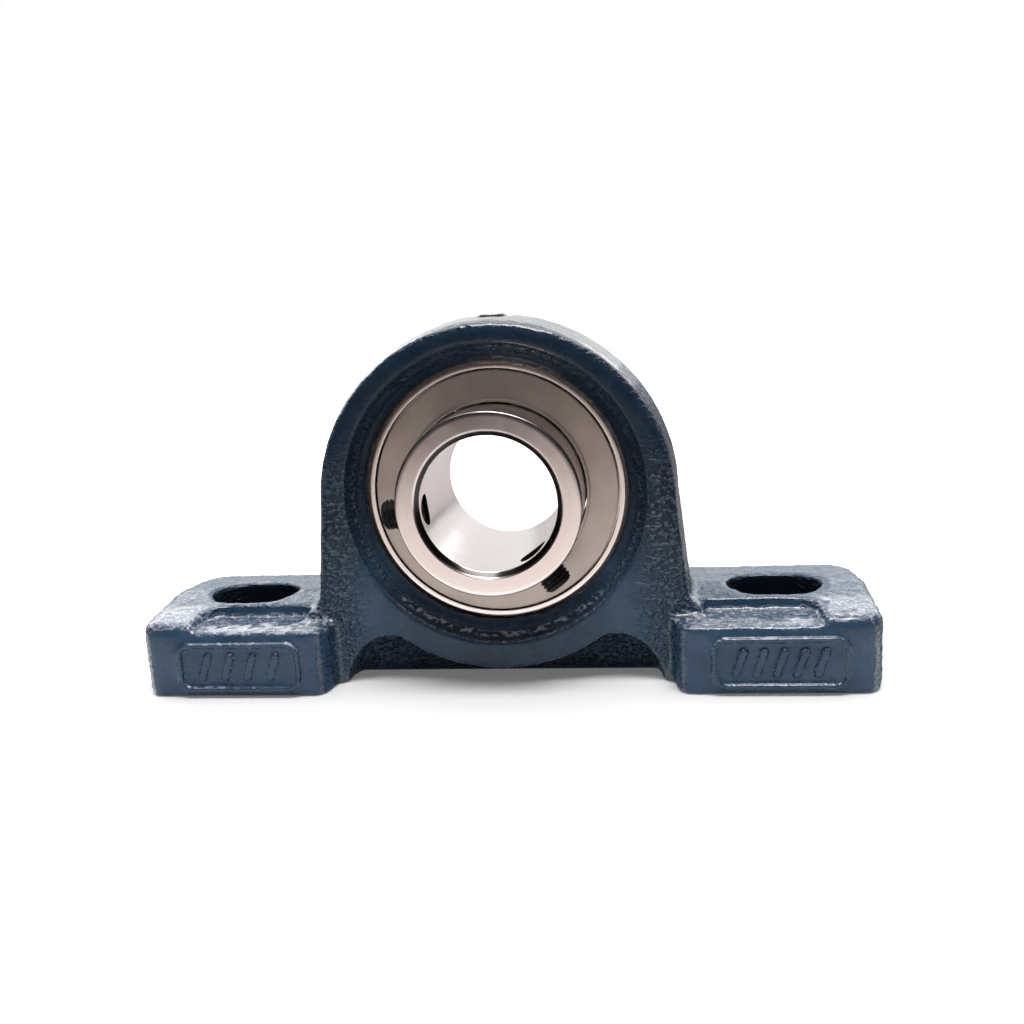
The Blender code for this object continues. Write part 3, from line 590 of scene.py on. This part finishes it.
def outer_ring(steel):
    """Ring with a ball-shaped outside, seal seats, and holes for the pin and for grease."""
    chamfer = 0.5
    edge = math.degrees(math.asin((OUTER_HALF - chamfer) / OUTER_SPHERE))
    rim = math.sqrt(OUTER_SPHERE**2 - OUTER_HALF**2) - chamfer
    land = 21.95
    groove = math.degrees(math.acos((land - PITCH_RADIUS) / GROOVE_RADIUS))
    seat = SEAL_RADIUS + 0.3
    profile = [(rim, OUTER_HALF, 0.15)] + arc(0, 0, OUTER_SPHERE, edge, -edge, 20)
    profile += [(rim, -OUTER_HALF, 0.15), (seat, -OUTER_HALF, 0.1), (seat, -5, 0), (land, -5, 0.1)]
    profile += arc(PITCH_RADIUS, 0, GROOVE_RADIUS, -groove, groove, 16)
    profile += [(land, 5, 0.1), (seat, 5, 0), (seat, OUTER_HALF, 0.1)]
    mesh = turned("outer_ring_ground", rounded(profile))
    low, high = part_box("anti_rotation_pin")
    pin = (low + high) / 2
    holes = [(Matrix.Translation((pin.x, pin.y, low.z - 2 * MM)), 1.7, 4)]
    holes.append((Matrix.Translation(SHAFT + Vector((0, 4.1, 23)) * MM), 0.7, 6))
    for place, radius, length in holes:
        rings = [circle(radius, height, 24) for height in (0, length)]
        mesh = cut(loose("ring_blank", mesh), loose("hole", stack("hole", place, rings)))
    return piece("outer_ring_ground", mesh, "outer_ring", steel)


def slinger(label, sign, steel):
    """Pressed disc with a rolled rim and a low collar that grips the inner ring."""
    sheet = 0.6
    grip = INNER_RADIUS + 0.25
    face = SLINGER_FACE
    profile = [
        (SLINGER_RADIUS, face - 0.05, 0.25),
        (SLINGER_RADIUS, face - sheet, 0.05),
        (grip, face - sheet, 0.1),
        (grip, face + 0.35, 0.08),
        (grip + 0.4, face + 0.4, 0.15),
        (grip + 0.7, face - 0.05, 0.2),
        (grip + 1.3, face, 0.2),
    ]
    profile = [(radius, sign * front, corner) for radius, front, corner in profile]
    mesh = turned(f"slinger_{label}_pressed", rounded(profile))
    return piece(f"slinger_{label}_pressed", mesh, f"slinger_{label}", steel)


def seal(label, sign, rubber):
    """Moulded ring whose lip leans on the inner ring."""
    rim = SEAL_RADIUS
    lip = INNER_RADIUS + 0.3
    profile = [
        (rim, 6.5, 0.2),
        (rim, 5.3, 0.2),
        (22.2, 5.3, 0.2),
        (21.6, 5.7, 0.2),
        (18.4, 5.7, 0.2),
        (lip, 5.3, 0.05),
        (lip, 5.8, 0.05),
        (18.2, 6.4, 0.3),
    ]
    profile = [(radius, sign * front, corner) for radius, front, corner in profile]
    mesh = turned(f"seal_{label}_moulded", rounded(profile))
    return piece(f"seal_{label}_moulded", mesh, f"seal_{label}", rubber)


def ball(node, steel):
    low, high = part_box(node)
    shape = bmesh.new()
    bmesh.ops.create_icosphere(shape, subdivisions=4, radius=BALL_RADIUS * MM)
    bmesh.ops.translate(shape, verts=shape.verts, vec=(low + high) / 2)
    mesh = bpy.data.meshes.new(f"{node}_lapped")
    shape.to_mesh(mesh)
    shape.free()
    return piece(f"{node}_lapped", mesh, node, steel)


def grease_plug(zinc_material):
    """Socket plug, a little sunk in its spot face on the crown of the arch."""
    low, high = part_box("grease_plug")
    place = Matrix.Translation((low + high) / 2)
    radius = node_radius("grease_plug") / MM
    half = (high.z - low.z) / 2 / MM
    steps = ((radius - 0.4, -half), (radius, 0.4 - half), (radius, half - 0.4))
    steps += ((radius - 0.12, half - 0.12), (radius - 0.4, half))
    plug = loose("plug_blank", stack("plug_blank", place, [circle(r, z, 48) for r, z in steps]))
    corner = SOCKET_SIZE / math.sqrt(3)
    shape = ((0.1, half - 3.2), (corner, half - 2.5), (corner, half - 0.2), (corner + 0.4, half + 0.2))
    socket = loose("socket", stack("socket", place, [circle(r, z, 6) for r, z in shape]))
    return piece("grease_plug_turned", cut(plug, socket), "grease_plug", zinc_material)


# Housing ------------------------------------------------------------------------------------


class ValueNoise:
    """Seeded smooth noise between -1 and 1 at many points at once."""

    def __init__(self, seed):
        self.table = np.random.default_rng(seed).uniform(-1, 1, (NOISE_CELLS,) * 3)

    def __call__(self, points, size):
        """Points in mm, as an array of rows, and the size of a blotch in mm along x, y and z."""
        scaled = points / np.array(size)
        base = np.floor(scaled).astype(int)
        share = scaled - base
        share = share * share * (3 - 2 * share)
        total = np.zeros(len(points))
        for corner in itertools.product((0, 1), repeat=3):
            index = (base + corner) % NOISE_CELLS
            weight = np.prod(np.where(corner, share, 1 - share), axis=1)
            total += weight * self.table[index[:, 0], index[:, 1], index[:, 2]]
        return total


def smoothstep(value, low, high):
    share = np.clip((value - low) / (high - low), 0, 1)
    return share * share * (3 - 2 * share)


def mouth_blank():
    """A ring that fills the edge of the front recess, so that it is cut sharp afterwards."""
    inner, outer, deep, face = 27.6, 29.8, 10.2, 11.97
    return turned("mouth_blank", [(inner, deep), (outer, deep), (outer, face), (inner, face)])


def remeshed_casting():
    """The CAD housing with its hard edges melted into cast fillets."""
    shape = bmesh.new()
    shape.from_mesh(frame["nodes"]["housing"].data)
    shape.from_mesh(mouth_blank())
    mesh = bpy.data.meshes.new("casting_blank")
    shape.to_mesh(mesh)
    shape.free()
    obj = loose("casting_blank", mesh)
    remesh = obj.modifiers.new("remesh", "REMESH")
    remesh.mode = "VOXEL"
    remesh.voxel_size = VOXEL * MM
    smooth = obj.modifiers.new("smooth", "SMOOTH")
    smooth.factor = 0.5
    smooth.iterations = 10
    return baked(obj)


def arrays(mesh):
    """Points in mm from the shaft's axis and the normals of a mesh."""
    count = len(mesh.vertices)
    points = np.empty(count * 3)
    mesh.vertices.foreach_get("co", points)
    normals = np.empty(count * 3)
    mesh.vertices.foreach_get("normal", normals)
    return points.reshape(-1, 3) / MM, normals.reshape(-1, 3)


def rounded_box_distance(x, z, half_length, half_height, corner):
    """Signed distance to an outline with round corners, negative inside."""
    over_x = np.abs(x) - half_length + corner
    over_z = np.abs(z) - half_height + corner
    outside = np.hypot(np.maximum(over_x, 0), np.maximum(over_z, 0))
    return outside + np.minimum(np.maximum(over_x, over_z), 0) - corner


def nameplate_height(points):
    """Raised frame with a row of plain slanted bars, on the front of each foot, in mm."""
    height = np.zeros(len(points))
    for (middle_x, middle_z), bars in zip(PLATE_MIDDLES, PLATE_BARS):
        x, z = points[:, 0] - middle_x, points[:, 2] - middle_z
        rim = rounded_box_distance(x, z, *PLATE_HALF_SIZE, PLATE_CORNER)
        height += PLATE_RISE * (1 - smoothstep(np.abs(rim), 0.15, 0.6))
        pitch = 18.0 / bars
        for bar in range(bars):
            bar_x = (bar - (bars - 1) / 2) * pitch
            along = np.clip(z, -2.0, 2.0)
            from_bar = np.hypot(x - bar_x - 0.35 * along, z - along)
            height += PLATE_RISE * (1 - smoothstep(from_bar, 0.45, 1.0))
    return height


def refine_nameplates(mesh):
    """Splits the faces under the raised marks into finer ones."""
    shape = bmesh.new()
    shape.from_mesh(mesh)
    for _ in range(2):
        shape.faces.ensure_lookup_table()
        middles = np.array([face.calc_center_median() for face in shape.faces]) / MM
        facing = np.array([face.normal.y for face in shape.faces]) < -0.6
        near = (middles[:, 1] < -18) & facing & (nameplate_height(middles) > 0.002)
        edges = {edge for index in np.flatnonzero(near) for edge in shape.faces[index].edges}
        edges = sorted(edges, key=lambda edge: edge.index)
        bmesh.ops.subdivide_edges(shape, edges=edges, cuts=1, use_grid_fill=True)
        shape.faces.index_update()
        shape.edges.index_update()
    fresh = bpy.data.meshes.new("casting_fine")
    shape.to_mesh(fresh)
    shape.free()
    return fresh


def roughen(mesh):
    """Pushes the skin out and in as sand casting leaves it, coarse where the mould was coarse."""
    points, normals = arrays(mesh)
    noise = ValueNoise(NOISE_SEED)
    x, y, z = points.T
    from_shaft = np.hypot(x, z - SHAFT.z / MM)
    plates = nameplate_height(points) * smoothstep(-normals[:, 1], 0.5, 0.8) * (y < -17.5)
    front_face = smoothstep(-normals[:, 1], 0.7, 0.95)
    arch_wall = smoothstep(z, 20, 24) * smoothstep(from_shaft, 32, 33)
    coarse = (1 - 0.95 * front_face) * (1 - 0.75 * arch_wall)
    ridge = noise(points, (1.1, 1.1, 0.7)) + 0.5 * noise(points, (0.6, 0.6, 0.45))
    ridge = np.maximum(ridge, -0.2)
    waves = noise(points, (7, 7, 7))
    height = 0.14 * coarse * ridge + 0.05 * waves + plates
    machined = (z < 0.8) | (from_shaft < 26.5)
    height = np.where(machined, 0, height)
    points = points + normals * height[:, None]
    mesh.vertices.foreach_set("co", (points * MM).ravel())
    mesh.update()


def seat_cutter():
    """Recess with a soft mouth, then the ball-shaped seat, then the recess at the back."""
    seat = OUTER_SPHERE + SEAT_GAP
    half = []
    edge = math.degrees(math.asin(8.4 / seat))
    half += [(radius, front, 0) for radius, front, _ in arc(0, 0, seat, 0, edge, 12)][1:]
    half += [(26.4, 9.0, 0.25), (27.2, 9.8, 0.4), (28.3, 11.3, 0.4), (28.5, 11.8, 0.3)]
    half += [(29.3, 12.12, 0.3), (29.7, 12.4, 0), (29.7, 16, 0)]
    back = [(radius, -front, corner) for radius, front, corner in reversed(half)]
    profile = rounded(back + [(seat, 0, 0)] + half)
    profile = [(radius, front) for radius, front in profile]
    return loose("seat_cutter", turned("seat_cutter", profile, steps=192, closed=False))


def housing(paint_material, iron):
    mesh = remeshed_casting()
    mesh = refine_nameplates(mesh)
    roughen(mesh)
    body = loose("casting", mesh)
    reach = 200 * MM
    below = bmesh.new()
    bmesh.ops.create_cube(below, size=2 * reach)
    bmesh.ops.translate(below, verts=below.verts, vec=(0, 0, -reach))
    floor_mesh = bpy.data.meshes.new("base_cut")
    below.to_mesh(floor_mesh)
    below.free()
    for cutter in (loose("base_cut", floor_mesh), seat_cutter()):
        modifier = body.modifiers.new("cut", "BOOLEAN")
        modifier.operation = "DIFFERENCE"
        modifier.solver = "MANIFOLD"
        modifier.object = cutter
        cut_mesh = baked(body)
        bpy.data.objects.remove(cutter)
        body = loose("casting", cut_mesh)
    mesh = baked(body)
    obj = piece("housing_cast", mesh, "housing", paint_material, iron, sharp_angle=50)
    centres = np.array([face.center for face in mesh.polygons]) / MM
    facing = np.array([face.normal for face in mesh.polygons])
    arm = centres - np.array(SHAFT) / MM
    bare = (centres[:, 2] < 0.02) & (facing[:, 2] < -0.9)
    bare |= (np.abs(np.linalg.norm(arm, axis=1) - OUTER_SPHERE - SEAT_GAP) < 0.05) & (np.abs(arm[:, 1]) < 8.5)
    mesh.polygons.foreach_set("material_index", bare.astype(np.int32))
    return obj


# Studio -------------------------------------------------------------------------------------


def fading_card():
    """A card painted with light and shade: bright near the object and behind it, dark far out in front and at
    the sides.
    """
    shader = Shader("fading_card", Roughness=0.9)
    x, y, _ = shader.parts(shader.position)
    aside = shader.maths("MULTIPLY", x, 1.8)
    front = shader.maths("MINIMUM", y, 0.0)
    aside_squared = shader.maths("MULTIPLY", aside, aside)
    front_squared = shader.maths("MULTIPLY", front, front)
    distance = shader.maths("SQRT", shader.maths("ADD", aside_squared, front_squared))
    before = shader.colours(distance, (0.18, (0.72, 0.65, 0.62)), (0.38, (0.06, 0.035, 0.03)))
    behind = shader.colours(distance, (0.2, (0.45, 0.42, 0.42)), (0.6, (0.2, 0.19, 0.19)))
    shader.set("Base Color", shader.blend(shader.step(y, -0.02, 0.06), before, behind))
    return shader.material


def floor_paper():
    """White paper that glows more and more away from the object, as painted light."""
    shader = Shader("floor_paper", Roughness=0.7)
    even = shader.colours(shader.noise(400), (0.3, (0.86, 0.86, 0.86)), (0.7, (0.88, 0.88, 0.88)))
    shader.set("Base Color", even)
    shader.set("Emission Color", even)
    x, y, _ = shader.parts(shader.position)
    squares = shader.maths("ADD", shader.maths("MULTIPLY", x, x), shader.maths("MULTIPLY", y, y))
    away = shader.step(shader.maths("SQRT", squares), 0.12, 0.4)
    shader.set("Emission Strength", shader.range(away, 0.0, 1.0, 0.15, 1.2))
    return shader.material


def sheet(name, corners, material):
    """A flat stage sheet from four corners in metres."""
    mesh = bpy.data.meshes.new(name)
    mesh.from_pydata([Vector(c) for c in corners], [], [(0, 1, 2, 3)])
    mesh.materials.append(material)
    obj = loose(name, mesh)
    return obj


def area_light(name, place, target, size, power, colour=(1, 1, 1)):
    data = bpy.data.lights.new(name, "AREA")
    data.shape = "RECTANGLE"
    data.size, data.size_y = size
    data.energy = power
    data.color = colour
    obj = bpy.data.objects.new(name, data)
    obj.location = place
    obj.rotation_euler = (Vector(target) - Vector(place)).to_track_quat("-Z", "Y").to_euler()
    bpy.context.scene.collection.objects.link(obj)
    return obj


def frame_sheet(name, inner, outer, height, material):
    """A flat square frame round the object: half sizes (x, y) of its hole and of its outside."""
    mesh = bpy.data.meshes.new(name)
    corners = [(-1, -1), (1, -1), (1, 1), (-1, 1)]
    places = [(x * inner[0], y * inner[1], height) for x, y in corners]
    places += [(x * outer[0], y * outer[1], height) for x, y in corners]
    mesh.from_pydata(places, [], [(i, (i + 1) % 4, (i + 1) % 4 + 4, i + 4) for i in range(4)])
    mesh.materials.append(material)
    obj = loose(name, mesh)
    return obj


def studio():
    """Pale floor under a wide overhead light, a bright room behind and a dark room in front.

    The reflected card lies just over the floor. Only reflections and bounced light see it.
    """
    sheet("floor", [(-4, -4, 0), (4, -4, 0), (4, 4, 0), (-4, 4, 0)], floor_paper())
    card = fading_card()
    reflected = frame_sheet("dark_card", (0.09, 0.07), (3.9, 3.9), 0.002, card)
    reflected.visible_camera = False
    reflected.visible_shadow = False
    area_light("overhead", (0, 0.3, 1.1), (0, 0.05, 0), (1.4, 1.0), 8)
    area_light("rim_left", (-0.55, 0.5, 0.40), (0, 0, 0.02), (0.7, 0.4), 1.6)
    area_light("rim_right", (0.38, 0.62, 0.36), (0, 0, 0.02), (0.5, 0.35), 0.8)
    area_light("softbox", (0.04, -0.14, 0.60), (0, 0, 0.04), (0.35, 0.2), 2.8)
    world = bpy.data.worlds.new("studio")
    bpy.context.scene.world = world
    world.use_nodes = True
    tree = world.node_tree
    background = tree.nodes["Background"]
    background.inputs["Color"].default_value = (1, 1, 1, 1)
    direction = tree.nodes.new("ShaderNodeTexCoord")
    toward_wall = tree.nodes.new("ShaderNodeVectorMath")
    toward_wall.operation = "DOT_PRODUCT"
    toward_wall.inputs[1].default_value = (0, 0.86, 0.5)
    tree.links.new(direction.outputs["Generated"], toward_wall.inputs[0])
    shade = tree.nodes.new("ShaderNodeMapRange")
    shade.interpolation_type = "SMOOTHSTEP"
    for socket, value in zip(shade.inputs[1:], (0.25, 0.95, 0.03, 1.0)):
        socket.default_value = value
    tree.links.new(toward_wall.outputs["Value"], shade.inputs[0])
    seen = tree.nodes.new("ShaderNodeLightPath")
    strength = tree.nodes.new("ShaderNodeMath")
    strength.operation = "MAXIMUM"
    tree.links.new(shade.outputs[0], strength.inputs[0])
    tree.links.new(seen.outputs["Is Camera Ray"], strength.inputs[1])
    tree.links.new(strength.outputs[0], background.inputs["Strength"])


def camera():
    data = bpy.data.cameras.new("camera")
    data.lens = 35.96
    data.sensor_width = 36
    data.shift_x = 0.0029
    data.shift_y = 0.0006
    data.clip_start = 0.01
    obj = bpy.data.objects.new("camera", data)
    turn = Matrix.Rotation(math.radians(CAMERA_HEADING), 4, "Z")
    turn @= Matrix.Rotation(math.radians(CAMERA_TILT), 4, "X")
    turn @= Matrix.Rotation(math.radians(CAMERA_ROLL), 4, "Y")
    turn @= Matrix.Rotation(math.radians(90), 4, "X")
    obj.matrix_world = Matrix.Translation(CAMERA_PLACE) @ turn
    bpy.context.scene.collection.objects.link(obj)
    bpy.context.scene.camera = obj


bpy.context.scene.view_settings.view_transform = "Standard"

paint_material = paint()
iron_material = machined_iron()
steel_material = ground_steel()
housing(paint_material, iron_material)
inner_ring(steel_material)
outer_ring(steel_material)
slinger_material = slinger_steel()
rubber_material = nitrile()
for label, sign in (("front", 1), ("back", -1)):
    slinger(label, sign, slinger_material)
    seal(label, sign, rubber_material)
oxide_material = black_oxide()
for number in (1, 2):
    set_screw(f"set_screw_{number}", oxide_material)
lapped = ball_steel()
for number in range(1, 10):
    ball(f"ball_{number}", lapped)
grease_plug(zinc())
pressed = cage_steel()
carried = {"cage_front": pressed, "cage_back": pressed, "anti_rotation_pin": steel_material}
for number in range(1, 10):
    carried[f"cage_rivet_{number}"] = pressed
for node, material in carried.items():
    mesh = frame["nodes"][node].data
    mesh.materials.clear()
    mesh.materials.append(material)
    mesh.shade_smooth()
    mesh.set_sharp_from_angle(angle=math.radians(35))
studio()
camera()
